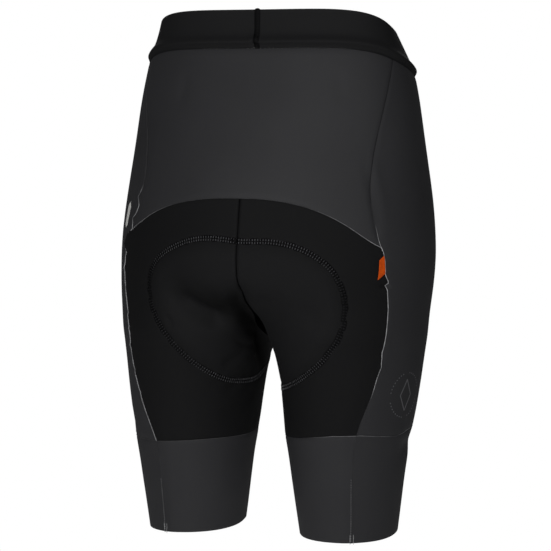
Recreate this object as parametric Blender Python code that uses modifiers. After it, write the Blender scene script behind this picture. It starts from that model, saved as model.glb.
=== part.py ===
"""High-waisted cycling shorts, filled out as if worn.

The cut is one smooth cage that runs from the waist over the hips and splits into two legs.
Every seam is a line of the cage. The cage is smoothed once, and then each panel takes its own
faces from it, is trimmed a hair at its seams, and gets a wall that grows inwards.

Axes: +Z up, the front faces -Y, the wearer's left is +X. The origin is the middle of the waist
opening, where a wearer holds the shorts up. Sizes in the tables are millimetres.
"""

import math
from collections import namedtuple

import bmesh
import bpy
from mathutils import Vector
from mathutils.bvhtree import BVHTree

MM = 0.001

# Driving sizes
CLOTH = 1.2
BAND_CLOTH = 1.6
SEAM_GAP = 0.3
SEAM_TRIM = 0.18
WAIST_RISE = 22.0
WAIST_SIDE_RISE = 4.5
WAISTBAND_HEIGHT = 39.5
WAIST_SIDE_SHARE = 0.575
WAIST_EASE = 0.4
CROTCH_Z = -318.0
CROTCH_RISE = 20.0
CROTCH_RISE_POWER = 6
LEG_SHIFT_LENGTH = 110.0
LEG_BAND_SEAM_Z = -420.5
LEG_BAND_SEAM_FRONT_RISE = 14.0
HEM_Z = -519.0
HEM_FRONT_RISE = 16.0
TAB_TOP_Z = -224.5
TAB_LENGTH = 18.0
TAB_TOP_WIDTH = 7.0
TAB_BOTTOM_WIDTH = 9.3
TAB_TOP_SLANT = 4.5
TAB_BOTTOM_SLANT = 6.0
TAB_DRIFT = 2.2
TAB_LIFT = 1.0
TAB_CLOTH = 0.9
TAB_SEAM_MARGIN = 0.6

# Segments of the cage, before it is smoothed
FRONT_COLUMNS = 9
BACK_COLUMNS = 6
BRIDGE_COLUMNS = 4
HALF_COLUMNS = FRONT_COLUMNS + BACK_COLUMNS
WAISTBAND_ROWS = 2
YOKE_ROWS = 5
SEAT_ROWS = 6
SEAT_ROW_SPREAD = 1.25
THIGH_ROWS = 4
THIGH_ROW_SPREAD = 1.15
LEG_BAND_ROWS = 5
HEIGHT_ROUNDS = 3
FITTING_ROUNDS = 2
TAB_COLUMNS = 4
TAB_ROWS = 6
TAB_STEP = 0.01

# Level slices of the body of the shorts. back, front and widest are places along Y, and leg_share
# says how far a slice has turned into the two rings of the legs.
Slice = namedtuple("Slice", "z half_breadth back front widest squareness leg_share")
BODY = [
    Slice(30, 121, 67, -68, 13, 2.3, 0.0),
    Slice(0, 127, 72, -74, 13, 2.3, 0.0),
    Slice(-27, 138, 79, -86, 7, 2.3, 0.0),
    Slice(-50, 146, 85, -93, 3, 2.25, 0.0),
    Slice(-80, 151, 94, -97, 1, 2.15, 0.0),
    Slice(-120, 157, 105, -101, 1, 2.1, 0.0),
    Slice(-160, 163, 116, -102, 1, 2.1, 0.0),
    Slice(-200, 168, 124, -102, 3, 2.1, 0.0),
    Slice(-235, 169, 128, -100, 6, 2.1, 0.02),
    Slice(-255, 168.5, 126.5, -98, 9, 2.1, 0.08),
    Slice(-272, 167, 124, -96, 12, 2.15, 0.22),
    Slice(-285, 165.5, 121.5, -94, 14, 2.15, 0.5),
    Slice(-298, 164, 119, -90, 16, 2.15, 1.0),
    Slice(-318, 162, 115, -86, 17, 2.15, 1.0),
]

# Level slices of one leg, with its ring's middle and its two half widths.
Ring = namedtuple("Ring", "z middle_x middle_y half_x half_y inner_squareness")
LEG = [
    Ring(-235, 82.0, 14, 86.0, 104, 2.3),
    Ring(-298, 82.0, 15.5, 82.0, 94.5, 2.3),
    Ring(-318, 81.5, 16, 80.5, 91, 2.2),
    Ring(-338, 85.0, 16.5, 74.5, 86.5, 2.1),
    Ring(-365, 85.7, 18, 71.0, 81, 2.0),
    Ring(-392, 85.5, 19.5, 67.5, 75.5, 2.0),
    Ring(-419, 85.3, 20.5, 64.3, 70.5, 2.0),
    Ring(-430, 85.2, 21, 62.1, 67, 2.0),
    Ring(-460, 85.1, 21, 58.0, 62, 2.0),
    Ring(-490, 85.1, 20, 54.2, 57, 2.0),
    Ring(-530, 85.3, 19, 48.8, 52, 2.0),
]
BRIDGE_HALF_ANGLE = 24.0
LEG_TURN_POWER = 1.28

# Where the side seam runs, as a share of the way round one half from the front to the back.
SeamPoint = namedtuple("SeamPoint", "z left right")
SIDE_SEAM = [
    SeamPoint(-15, 0.565, 0.565),
    SeamPoint(-27, 0.595, 0.59),
    SeamPoint(-40, 0.625, 0.618),
    SeamPoint(-62, 0.667, 0.657),
    SeamPoint(-90, 0.702, 0.687),
    SeamPoint(-120, 0.728, 0.713),
    SeamPoint(-150, 0.745, 0.728),
    SeamPoint(-180, 0.728, 0.728),
    SeamPoint(-205, 0.706, 0.715),
    SeamPoint(-228, 0.675, 0.693),
    SeamPoint(-255, 0.674, 0.683),
    SeamPoint(-290, 0.697, 0.680),
    SeamPoint(-318, 0.704, 0.686),
    SeamPoint(-335, 0.704, 0.695),
    SeamPoint(-370, 0.729, 0.724),
    SeamPoint(-405, 0.758, 0.752),
    SeamPoint(-425, 0.780, 0.757),
    SeamPoint(-520, 0.776, 0.760),
]

# The top edge of the seat, by its share of the way from the centre back to the side seam.
ArchPoint = namedtuple("ArchPoint", "share z")
SEAT_ARCH = [
    ArchPoint(0.0, -168),
    ArchPoint(0.15, -168),
    ArchPoint(0.3, -170),
    ArchPoint(0.5, -175.5),
    ArchPoint(0.65, -182.5),
    ArchPoint(0.82, -195),
    ArchPoint(1.0, -211),
]

# How each side hangs: its seat corner, the rise and lean of its leg seam, the lean of its hem,
# and how far its leg stands outwards.
Side = namedtuple("Side", "name sign seat_corner_drop seam_rise seam_lean hem_lean leg_shift")
SIDES = [
    Side("left", 1, -6.5, 0.0, -3.0, -2.0, 0.4),
    Side("right", -1, 6.5, 11.0, 3.0, 0.0, -1.8),
]

PANELS = [
    "waistband",
    "back_yoke",
    "front_panel_left",
    "front_panel_right",
    "seat_panel_left",
    "seat_panel_right",
    "leg_band_left",
    "leg_band_right",
]


def clear_scene():
    for old in list(bpy.data.objects):
        bpy.data.objects.remove(old)


def looked_up(table, key, column, at):
    """A smooth curve through one column of a table, read at a value of its key column."""
    rows = sorted(table, key=lambda row: getattr(row, key))
    keys = [getattr(row, key) for row in rows]
    values = [getattr(row, column) for row in rows]
    at = min(max(at, keys[0]), keys[-1])
    last = max(i for i in range(len(keys) - 1) if keys[i] <= at)
    width = keys[last + 1] - keys[last]

    def slope(i):
        before = max(i - 1, 0)
        after = min(i + 1, len(keys) - 1)
        return (values[after] - values[before]) / (keys[after] - keys[before])

    t = (at - keys[last]) / width
    return (
        values[last] * (1 + 2 * t) * (1 - t) ** 2
        + slope(last) * width * t * (1 - t) ** 2
        + values[last + 1] * t * t * (3 - 2 * t)
        + slope(last + 1) * width * t * t * (t - 1)
    )


def powered(value, squareness):
    """A sine or cosine bent towards a rounded square."""
    return math.copysign(abs(value) ** (2 / squareness), value)


def body_point(z, share):
    """A point of the half ring of the hips, from the centre front (0) to the centre back (1)."""
    half_breadth, back, front, widest, squareness = (
        looked_up(BODY, "z", column, z)
        for column in ("half_breadth", "back", "front", "widest", "squareness")
    )
    turn = (share - 0.5) * math.pi
    x = half_breadth * powered(math.cos(turn), squareness)
    reach = back - widest if turn > 0 else widest - front
    return x, widest + reach * powered(math.sin(turn), squareness)


def leg_point(z, angle):
    """A point of a leg's ring. 0 degrees is the outer side, 90 the back and 180 the inner side."""
    middle_x, middle_y, half_x, half_y, inner = (
        looked_up(LEG, "z", column, z)
        for column in ("middle_x", "middle_y", "half_x", "half_y", "inner_squareness")
    )
    along, across = math.cos(math.radians(angle)), math.sin(math.radians(angle))
    squareness = 2.0 if along > 0 else inner
    x = middle_x + half_x * powered(along, squareness)
    return x, middle_y + half_y * powered(across, squareness)


def leg_angle(share):
    """The turn round a leg that meets a share of the hips, so that the two rings run together."""
    turned = 2 * share - 1
    return math.copysign(abs(turned) ** LEG_TURN_POWER, turned) * (180 - BRIDGE_HALF_ANGLE)


def half_point(z, share):
    """A point of one half of the shorts above the crotch, where the hips turn into the legs."""
    leg_share = looked_up(BODY, "z", "leg_share", z)
    body = body_point(z, share)
    leg = leg_point(z, leg_angle(share))
    x, y = (b + (l - b) * leg_share for b, l in zip(body, leg))
    return (0.0 if share in (0, 1) else max(x, 0.0)), y


def column_share(column, z, side):
    """The share of the way round at which a column of the cage lies, at one height."""
    seam = looked_up(SIDE_SEAM, "z", side.name, z)
    if column <= FRONT_COLUMNS:
        return seam * column / FRONT_COLUMNS
    return seam + (1 - seam) * (column - FRONT_COLUMNS) / BACK_COLUMNS


def waist_height(column):
    """The waist is level across the back, falls along the sides and is low at the front.

    Its elastic stands up a little at the sides.
    """
    if column > FRONT_COLUMNS:
        share = 1 - (1 - WAIST_SIDE_SHARE) * (HALF_COLUMNS - column) / BACK_COLUMNS
    else:
        share = WAIST_SIDE_SHARE * column / FRONT_COLUMNS
    fall = math.sin((share - 0.5) * math.pi)
    sideways = 1 - fall * fall
    return WAIST_RISE * fall * (1 + WAIST_EASE * sideways) + WAIST_SIDE_RISE * sideways


def arch_height(column, side):
    """The seat's top edge at the back, which carries on level round the front."""
    across = min((HALF_COLUMNS - column) / BACK_COLUMNS, 1.0)
    drop = side.seat_corner_drop * across**2
    return looked_up(SEAT_ARCH, "share", "z", across) - drop


def torso_height(row, column, side):
    """The height of a row of the cage above the crotch."""
    top = waist_height(column)
    band = top - WAISTBAND_HEIGHT
    arch = arch_height(column, side)
    if row <= WAISTBAND_ROWS:
        return top + (band - top) * row / WAISTBAND_ROWS
    row -= WAISTBAND_ROWS
    if row <= YOKE_ROWS:
        return band + (arch - band) * row / YOKE_ROWS
    row -= YOKE_ROWS
    down = 1 - (1 - row / SEAT_ROWS) ** SEAT_ROW_SPREAD
    centred = abs(2 * column_share(column, CROTCH_Z, side) - 1)
    crotch = CROTCH_Z + CROTCH_RISE * centred**CROTCH_RISE_POWER
    return arch + (crotch - arch) * down


def leg_height(row, angle, side):
    """The height of a row of the cage below the crotch, at one place round the leg.

    The seam and the hem lean to one side, and they rise towards the front of the leg.
    """
    outwards = math.cos(math.radians(angle))
    front = (1 - math.sin(math.radians(angle))) / 2
    seam = LEG_BAND_SEAM_Z + LEG_BAND_SEAM_FRONT_RISE * front**3
    seam += side.seam_rise + side.seam_lean * outwards
    hem = HEM_Z + HEM_FRONT_RISE * front**2 + side.hem_lean * outwards
    if row <= THIGH_ROWS:
        return CROTCH_Z + (seam - CROTCH_Z) * (row / THIGH_ROWS) ** THIGH_ROW_SPREAD
    return seam + (hem - seam) * (row - THIGH_ROWS) / LEG_BAND_ROWS


def build_cage():
    """The whole outer surface as a coarse cage, each face marked with its panel."""
    cage = bmesh.new()
    rows = WAISTBAND_ROWS + YOKE_ROWS + SEAT_ROWS
    shared = {}

    def centre_vertex(key, y, z):
        if key not in shared:
            shared[key] = cage.verts.new(Vector((0, y, z)) * MM)
        return shared[key]

    def add_face(corners, side, panel):
        face = cage.faces.new(corners if side.sign > 0 else corners[::-1])
        face.material_index = PANELS.index(panel)

    def mark_slit(upper, lower):
        """A seam inside one panel, where the two ends of a band meet."""
        cage.edges.get((upper, lower)).seam = True

    for side in SIDES:
        torso = []
        for row in range(rows + 1):
            line = []
            for column in range(HALF_COLUMNS + 1):
                z = torso_height(row, column, side)
                x, y = half_point(z, column_share(column, z, side))
                if column in (0, HALF_COLUMNS):
                    line.append(centre_vertex((row, column), y, z))
                else:
                    line.append(cage.verts.new(Vector((side.sign * x, y, z)) * MM))
            torso.append(line)
        for row in range(rows):
            for column in range(HALF_COLUMNS):
                if row < WAISTBAND_ROWS:
                    panel = "waistband"
                elif column < FRONT_COLUMNS:
                    panel = "front_panel_" + side.name
                elif row < WAISTBAND_ROWS + YOKE_ROWS:
                    panel = "back_yoke"
                else:
                    panel = "seat_panel_" + side.name
                here, below = torso[row], torso[row + 1]
                corners = [
                    here[column],
                    below[column],
                    below[column + 1],
                    here[column + 1],
                ]
                add_face(corners, side, panel)
        for row in range(WAISTBAND_ROWS):
            mark_slit(torso[row][HALF_COLUMNS], torso[row + 1][HALF_COLUMNS])

        back_end = torso[rows][HALF_COLUMNS].co.y / MM
        front_end = torso[rows][0].co.y / MM
        bridge = []
        for step in range(1, BRIDGE_COLUMNS):
            share = step / BRIDGE_COLUMNS
            y = back_end + (front_end - back_end) * share
            z = CROTCH_Z + CROTCH_RISE * (2 * share - 1) ** 2
            bridge.append(centre_vertex(("bridge", step), y, z))
        ring = torso[rows] + bridge
        ring_size = len(ring)
        for row in range(1, THIGH_ROWS + LEG_BAND_ROWS + 1):
            below = []
            for index in range(ring_size):
                if index <= HALF_COLUMNS:
                    # The seam's share depends on the height, and the height on the seam's share
                    z = CROTCH_Z
                    for _ in range(HEIGHT_ROUNDS):
                        angle = leg_angle(column_share(index, z, side))
                        z = leg_height(row, angle, side)
                else:
                    step = (index - HALF_COLUMNS) / BRIDGE_COLUMNS
                    angle = 180 + BRIDGE_HALF_ANGLE * (2 * step - 1)
                    z = leg_height(row, angle, side)
                x, y = leg_point(z, angle)
                x += side.leg_shift * min((CROTCH_Z - z) / LEG_SHIFT_LENGTH, 1)
                below.append(cage.verts.new(Vector((side.sign * x, y, z)) * MM))
            for index in range(ring_size):
                if row > THIGH_ROWS:
                    panel = "leg_band_" + side.name
                elif index < FRONT_COLUMNS:
                    panel = "front_panel_" + side.name
                else:
                    panel = "seat_panel_" + side.name
                after = (index + 1) % ring_size
                add_face([ring[index], below[index], below[after], ring[after]], side, panel)
            if row > THIGH_ROWS:
                mark_slit(ring[FRONT_COLUMNS], below[FRONT_COLUMNS])
            ring = below
    cage.normal_update()
    return cage


def smoothed_copy(guide):
    graph = bpy.context.evaluated_depsgraph_get()
    return bpy.data.meshes.new_from_object(guide.evaluated_get(graph))


def smooth_surface(cage):
    """The cage after one round of subdivision, as a plain mesh.

    Smoothing pulls a cage inwards, so its points are first pushed out by what they would lose.
    """
    mesh = bpy.data.meshes.new("cage")
    cage.to_mesh(mesh)
    for name in PANELS:
        mesh.materials.append(bpy.data.materials.new("guide_" + name))
    guide = bpy.data.objects.new("cage", mesh)
    bpy.context.scene.collection.objects.link(guide)
    smoothing = guide.modifiers.new("Smooth", "SUBSURF")
    smoothing.levels = smoothing.render_levels = 1
    wanted = [vertex.co.copy() for vertex in mesh.vertices]
    for _ in range(FITTING_ROUNDS):
        smooth = smoothed_copy(guide)
        for vertex, goal, reached in zip(mesh.vertices, wanted, smooth.vertices):
            vertex.co += goal - reached.co
        mesh.update()
        bpy.data.meshes.remove(smooth)
    smooth = smoothed_copy(guide)
    bpy.data.objects.remove(guide)
    return smooth


def trim_edges(panel, width):
    """Moves a panel's open edges inwards along its surface, so that neighbours stay apart."""
    moves = {}
    for edge in panel.edges:
        if len(edge.link_faces) != 1:
            continue
        face = edge.link_faces[0]
        along = (edge.verts[1].co - edge.verts[0].co).normalized()
        inwards = face.calc_center_median() - edge.verts[0].co
        inwards = (inwards - along * inwards.dot(along)).normalized()
        for vertex in edge.verts:
            moves.setdefault(vertex, []).append(inwards)
    for vertex, directions in moves.items():
        total = sum(directions, Vector())
        if len(directions) == 2:
            total /= 1 + directions[0].dot(directions[1])
        vertex.co += total * width


def principled(name, colour, roughness):
    material = bpy.data.materials.new(name)
    material.use_nodes = True
    shader = material.node_tree.nodes["Principled BSDF"]
    shader.inputs["Base Color"].default_value = (*colour, 1)
    shader.inputs["Roughness"].default_value = roughness
    return material


def cloth_object(surface, name, material, thickness, side, collection):
    """An object from an open surface, with a live wall grown inwards (-1) or outwards (1)."""
    for face in surface.faces:
        face.material_index = 0
        face.smooth = True
    mesh = bpy.data.meshes.new(name)
    surface.to_mesh(mesh)
    surface.free()
    mesh.materials.append(material)
    cloth = bpy.data.objects.new(name, mesh)
    collection.objects.link(cloth)
    wall = cloth.modifiers.new("Wall", "SOLIDIFY")
    wall.thickness = thickness * MM
    wall.offset = side


def make_panel(surface, name, material, thickness, collection):
    """One panel: its own faces of the whole surface, parted and trimmed at the seams."""
    panel = bmesh.new()
    panel.from_mesh(surface)
    index = PANELS.index(name)
    others = [face for face in panel.faces if face.material_index != index]
    bmesh.ops.delete(panel, geom=others, context="FACES")
    slits = [edge for edge in panel.edges if edge.seam and len(edge.link_faces) == 2]
    bmesh.ops.split_edges(panel, edges=slits)
    trim_edges(panel, SEAM_TRIM * MM)
    cloth_object(panel, name, material, thickness, -1, collection)


def make_tab(surface, material, collection):
    """The folded tab: a patch of ribbon that starts at the right side seam and lies on the seat."""
    outside = bmesh.new()
    outside.from_mesh(surface)
    tree = BVHTree.FromBMesh(outside)
    outside.free()
    tab = bmesh.new()
    bmesh.ops.create_grid(tab, x_segments=TAB_COLUMNS, y_segments=TAB_ROWS, size=0.5)
    for vertex in tab.verts:
        across, down = vertex.co.x + 0.5, 0.5 - vertex.co.y
        slant = TAB_TOP_SLANT + (TAB_BOTTOM_SLANT - TAB_TOP_SLANT) * down
        width = TAB_TOP_WIDTH + (TAB_BOTTOM_WIDTH - TAB_TOP_WIDTH) * down
        z = TAB_TOP_Z - TAB_LENGTH * down - slant * across
        seam = looked_up(SIDE_SEAM, "z", "right", z)
        near, further = half_point(z, seam), half_point(z, seam + TAB_STEP)
        shares_per_mm = TAB_STEP / math.dist(near, further)
        from_seam = TAB_SEAM_MARGIN + TAB_DRIFT * down + width * across
        x, y = half_point(z, seam + from_seam * shares_per_mm)
        place, normal, _, _ = tree.find_nearest(Vector((-x, y, z)) * MM)
        vertex.co = place + normal * (SEAM_GAP + TAB_LIFT * across**2) * MM
    bmesh.ops.reverse_faces(tab, faces=tab.faces)
    cloth_object(tab, "side_tab", material, TAB_CLOTH, 1, collection)


def main():
    clear_scene()
    shorts = bpy.data.collections.new("cycling_shorts")
    bpy.context.scene.collection.children.link(shorts)
    cage = build_cage()
    surface = smooth_surface(cage)
    cage.free()
    grey = principled("warp_knit_charcoal", (0.032, 0.032, 0.034), 0.6)
    black = principled("warp_knit_black", (0.009, 0.009, 0.009), 0.65)
    elastic = principled("brushed_elastic_black", (0.012, 0.012, 0.012), 0.7)
    for name in PANELS:
        if name == "waistband":
            make_panel(surface, name, elastic, BAND_CLOTH, shorts)
        elif name.startswith("seat"):
            make_panel(surface, name, black, CLOTH, shorts)
        else:
            make_panel(surface, name, grey, CLOTH, shorts)
    orange = principled("woven_ribbon_orange", (0.85, 0.10, 0.01), 0.6)
    make_tab(surface, orange, shorts)
    bpy.data.meshes.remove(surface)


main()
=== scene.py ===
# %% [markdown]
# Cycling shorts, filled out as if worn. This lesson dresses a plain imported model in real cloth:
# stretch knit panels, an elastic waistband, the seams that join them, the cover stitch that holds a
# seat pad, a ribbon tab and two small prints. Every length is in millimetres until it meets a mesh.

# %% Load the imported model
import math
from collections import namedtuple

import bmesh
import bpy
import numpy as np
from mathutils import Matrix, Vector
from mathutils.bvhtree import BVHTree
from mathutils.kdtree import KDTree


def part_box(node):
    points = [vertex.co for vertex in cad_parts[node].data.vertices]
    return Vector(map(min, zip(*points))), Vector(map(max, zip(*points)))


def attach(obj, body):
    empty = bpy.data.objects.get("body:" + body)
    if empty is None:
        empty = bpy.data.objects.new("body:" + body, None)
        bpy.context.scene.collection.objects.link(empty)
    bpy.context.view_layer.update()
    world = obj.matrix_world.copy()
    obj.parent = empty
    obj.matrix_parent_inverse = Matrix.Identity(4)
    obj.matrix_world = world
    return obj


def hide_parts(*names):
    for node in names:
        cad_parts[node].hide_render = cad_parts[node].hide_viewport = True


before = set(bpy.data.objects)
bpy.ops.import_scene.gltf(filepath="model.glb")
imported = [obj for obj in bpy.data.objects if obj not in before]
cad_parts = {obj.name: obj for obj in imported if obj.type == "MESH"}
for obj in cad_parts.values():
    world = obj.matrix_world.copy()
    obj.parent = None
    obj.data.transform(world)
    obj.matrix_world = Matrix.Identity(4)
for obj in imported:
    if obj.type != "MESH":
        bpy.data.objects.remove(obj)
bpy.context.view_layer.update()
MM = 0.001
SIDES = {"left": 1, "right": -1}
print("nodes:", ", ".join(sorted(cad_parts)))

# %% [markdown]
# A render shows colours in sRGB, and a shader adds them up in linear light, so each hex colour is
# turned once, here. One helper adds a node, whatever its kind: it gives the node its settings, and
# each input gets either a value or a link.

# %% Colour and node helpers
def linear(hex_colour):
    channels = [int(hex_colour[i : i + 2], 16) / 255 for i in (1, 3, 5)]
    return (*(c / 12.92 if c <= 0.04045 else ((c + 0.055) / 1.055) ** 2.4 for c in channels), 1)


def add_node(tree, kind, inputs=None, **settings):
    node = tree.nodes.new(kind)
    for key, value in settings.items():
        setattr(node, key, value)
    for key, value in (inputs or {}).items():
        if isinstance(value, bpy.types.NodeSocket):
            tree.links.new(value, node.inputs[key])
        else:
            node.inputs[key].default_value = value
    return node


def new_material(name):
    material = bpy.data.materials.new(name)
    material.use_nodes = True
    return material, material.node_tree, material.node_tree.nodes["Principled BSDF"]


# %% [markdown]
# Warp knit is a fabric of fine chains of loops. The chains (wales) run up the cloth and each loop
# makes a small V. A real wale is about 0.5 mm wide, which is finer than the picture can show, so it
# is drawn 1.1 mm wide. The knit reads the cloth's own UV map, in metres, so that it turns with the
# cloth. Elastane yarn is matt with a soft sheen where the cloth turns away. A number that the mesh
# holds makes the colour paler above 0, partly because the knit is pulled tight over the pad and
# partly as painted light on the pad's swell, and darker below 0, as painted shade in deep folds.

# %% Warp knit
# Wale and course are the loop's width and height in mm
Knit = namedtuple("Knit", "name colour roughness sheen sheen_colour wale course bump fleck shine")
KNITS = {
    "charcoal": Knit("warp_knit_charcoal", "#2a2a2c", 0.60, 0.02, "#9a9aa2", 1.1, 0.9, 0.10, 0.10, 0.22),
    "black": Knit("warp_knit_black", "#0f0f10", 0.75, 0.01, "#8c8c90", 1.1, 0.9, 0.14, 0.10, 0.14),
    "elastic": Knit("brushed_elastic_black", "#171718", 0.75, 0.01, "#8c8c90", 0.8, 1.6, 0.16, 0.12, 0.15),
}
STRETCH_AND_LIGHT_STRENGTH = 0.4
LOOP_RELIEF = 0.25
DYE_SCALE = 14.0
FLECK_SCALE = 900.0
SHEEN_ROUGHNESS = 0.45


def knit_material(knit):
    material, tree, shader = new_material(knit.name)
    uv = add_node(tree, "ShaderNodeUVMap", uv_map="cloth")
    parts = add_node(tree, "ShaderNodeSeparateXYZ", {0: uv.outputs[0]})
    wales, rows = (
        add_node(tree, "ShaderNodeMath", {0: parts.outputs[k], 1: 1 / (size * MM)}, operation="MULTIPLY")
        for k, size in enumerate((knit.wale, knit.course))
    )
    # Distance from the middle of the wale, which slants the loop's two legs
    wale_side = add_node(tree, "ShaderNodeMath", {0: wales.outputs[0], 1: 1.0}, operation="PINGPONG")
    slanted = add_node(
        tree, "ShaderNodeMath", {0: rows.outputs[0], 1: wale_side.outputs[0]}, operation="ADD"
    )
    turned = add_node(tree, "ShaderNodeMath", {0: slanted.outputs[0], 1: 2 * math.pi}, operation="MULTIPLY")
    loops = add_node(tree, "ShaderNodeMath", {0: turned.outputs[0]}, operation="SINE")
    height = add_node(
        tree, "ShaderNodeMath", {0: wale_side.outputs[0], 1: loops.outputs[0]}, operation="MULTIPLY"
    )
    bump = add_node(
        tree,
        "ShaderNodeBump",
        {"Strength": knit.bump, "Distance": LOOP_RELIEF * MM, "Height": height.outputs[0]},
    )
    # Uneven dye over a hand's breadth, and single darker loops
    place = add_node(tree, "ShaderNodeTexCoord")
    dye, fleck = (
        add_node(tree, "ShaderNodeTexNoise", {"Vector": place.outputs["Object"], "Scale": s, "Detail": d})
        for s, d in ((DYE_SCALE, 2.0), (FLECK_SCALE, 1.0))
    )
    mottle = add_node(
        tree, "ShaderNodeMath", {0: dye.outputs[0], 1: fleck.outputs[0]}, operation="ADD"
    )
    shade = add_node(
        tree,
        "ShaderNodeMapRange",
        {0: mottle.outputs[0], 1: 0.6, 2: 1.4, 3: 1 - knit.fleck, 4: 1 + knit.fleck},
    )
    colour = add_node(
        tree,
        "ShaderNodeMix",
        {0: 1.0, 6: linear(knit.colour), 7: shade.outputs[0]},
        data_type="RGBA",
        blend_type="MULTIPLY",
    )
    # Above 0 the colour is paler: knit pulled tight opens its loops, and light is painted on the pad's
    # swell. Below 0 it is darker: painted shade in deep folds.
    stretch_and_painted_light = add_node(tree, "ShaderNodeAttribute", attribute_name="stretch_and_painted_light")
    paler = add_node(
        tree,
        "ShaderNodeMath",
        {0: stretch_and_painted_light.outputs["Fac"], 1: STRETCH_AND_LIGHT_STRENGTH, 2: 1.0},
        operation="MULTIPLY_ADD",
    )
    stretch_and_light_colour = add_node(
        tree,
        "ShaderNodeMix",
        {0: 1.0, 6: colour.outputs[2], 7: paler.outputs[0]},
        data_type="RGBA",
        blend_type="MULTIPLY",
    )
    tree.links.new(stretch_and_light_colour.outputs[2], shader.inputs["Base Color"])
    tree.links.new(bump.outputs[0], shader.inputs["Normal"])
    shader.inputs["Roughness"].default_value = knit.roughness
    shader.inputs["Sheen Weight"].default_value = knit.sheen
    shader.inputs["Sheen Roughness"].default_value = SHEEN_ROUGHNESS
    shader.inputs["Sheen Tint"].default_value = linear(knit.sheen_colour)
    shader.inputs["Specular IOR Level"].default_value = knit.shine
    return material


knit_materials = {key: knit_material(knit) for key, knit in KNITS.items()}
print("knits:", ", ".join(material.name for material in knit_materials.values()))

# %% [markdown]
# Sewing thread is textured polyester. Where a printed panel is folded over at a seam, its undyed
# yarn shows as a pale edge, brighter in some places than in others, so that material reads a
# "shine" number from the mesh and breaks it up with noise. In the cover stitches the same number
# mixes painted shade (the dark colour) with painted highlight (the pale colour), and the dark rolls
# take the dark colour as painted shade. The ribbon is a plain weave. Prints are a skin of ink, worn
# in places.

# %% Threads, ribbon and prints
THREAD_NOISE_SCALE = 160.0
THREAD_SPECULAR = 0.1
RIBBON_THREAD = 0.5
RIBBON_WEAR_SCALE = 300.0
INK_WEAR_SCALE = 220.0


def thread_material(name, dark, pale, roughness, break_up):
    material, tree, shader = new_material(name)
    place = add_node(tree, "ShaderNodeTexCoord")
    noise = add_node(
        tree,
        "ShaderNodeTexNoise",
        {"Vector": place.outputs["Object"], "Scale": THREAD_NOISE_SCALE, "Detail": 2.0},
    )
    shine = add_node(tree, "ShaderNodeAttribute", attribute_name="shine")
    uneven = add_node(
        tree,
        "ShaderNodeMapRange",
        {0: noise.outputs[0], 1: 0.35, 2: 0.65, 3: 1 - break_up, 4: 1.0},
    )
    share = add_node(
        tree,
        "ShaderNodeMath",
        {0: shine.outputs["Fac"], 1: uneven.outputs[0]},
        operation="MULTIPLY",
        use_clamp=True,
    )
    colour = add_node(
        tree,
        "ShaderNodeMix",
        {0: share.outputs[0], 6: linear(dark), 7: linear(pale)},
        data_type="RGBA",
    )
    tree.links.new(colour.outputs[2], shader.inputs["Base Color"])
    shader.inputs["Roughness"].default_value = roughness
    shader.inputs["Specular IOR Level"].default_value = THREAD_SPECULAR
    return material


def ribbon_material():
    material, tree, shader = new_material("woven_ribbon_orange")
    uv = add_node(tree, "ShaderNodeUVMap", uv_map="cloth")
    # A ribbon has about 2 threads a millimetre each way
    weave = add_node(
        tree,
        "ShaderNodeTexChecker",
        {"Vector": uv.outputs[0], "Scale": 1 / (RIBBON_THREAD * MM), 1: (0, 0, 0, 1), 2: (1, 1, 1, 1)},
    )
    bump = add_node(
        tree,
        "ShaderNodeBump",
        {"Strength": 0.3, "Distance": 0.12 * MM, "Height": weave.outputs["Fac"]},
    )
    place = add_node(tree, "ShaderNodeTexCoord")
    worn = add_node(
        tree,
        "ShaderNodeTexNoise",
        {"Vector": place.outputs["Object"], "Scale": RIBBON_WEAR_SCALE, "Detail": 2.0},
    )
    colour = add_node(
        tree,
        "ShaderNodeMix",
        {0: worn.outputs[0], 6: linear("#a63505"), 7: linear("#dc5a07")},
        data_type="RGBA",
    )
    tree.links.new(colour.outputs[2], shader.inputs["Base Color"])
    tree.links.new(bump.outputs[0], shader.inputs["Normal"])
    shader.inputs["Roughness"].default_value = 0.7
    shader.inputs["Specular IOR Level"].default_value = 0.15
    return material


def print_material(name, colour, worn_colour, roughness):
    material, tree, shader = new_material(name)
    place = add_node(tree, "ShaderNodeTexCoord")
    worn = add_node(
        tree,
        "ShaderNodeTexNoise",
        {"Vector": place.outputs["Object"], "Scale": INK_WEAR_SCALE, "Detail": 3.0},
    )
    mixed = add_node(
        tree,
        "ShaderNodeMix",
        {0: worn.outputs[0], 6: linear(worn_colour), 7: linear(colour)},
        data_type="RGBA",
    )
    tree.links.new(mixed.outputs[2], shader.inputs["Base Color"])
    shader.inputs["Roughness"].default_value = roughness
    return material


# On these two threads the dark colour is painted shade and the pale colour painted highlight, mixed by
# shine
cover_thread = thread_material("polyester_thread_charcoal", "#030304", "#646467", 0.6, 0.35)
elastic_thread = thread_material("polyester_thread_black", "#040405", "#1c1c1e", 0.6, 0.4)
# The pale yarn edge's dark colour is painted shade in the seam's valley
pale_edge = thread_material("undyed_yarn_edge", "#18181a", "#b4b4b6", 0.7, 0.45)
ribbon = ribbon_material()
reflective_print = print_material("reflective_print_silver", "#f0f0ec", "#d0d0cc", 0.45)
tonal_print = print_material("silicone_print_grey", "#606063", "#4e4e51", 0.5)
print("threads and prints are ready")

# %% [markdown]
# Each panel starts from its packed wall, which is a closed mesh of loose triangles. The copy is
# merged, cut at the wall's sharp rims, and only the skin that looks outwards is kept. Its triangles
# are joined to quads again, because a subdivision of quads is smooth. Corners are preserved so that
# panels still meet there. The wall comes back at the end, with Solidify.

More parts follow.
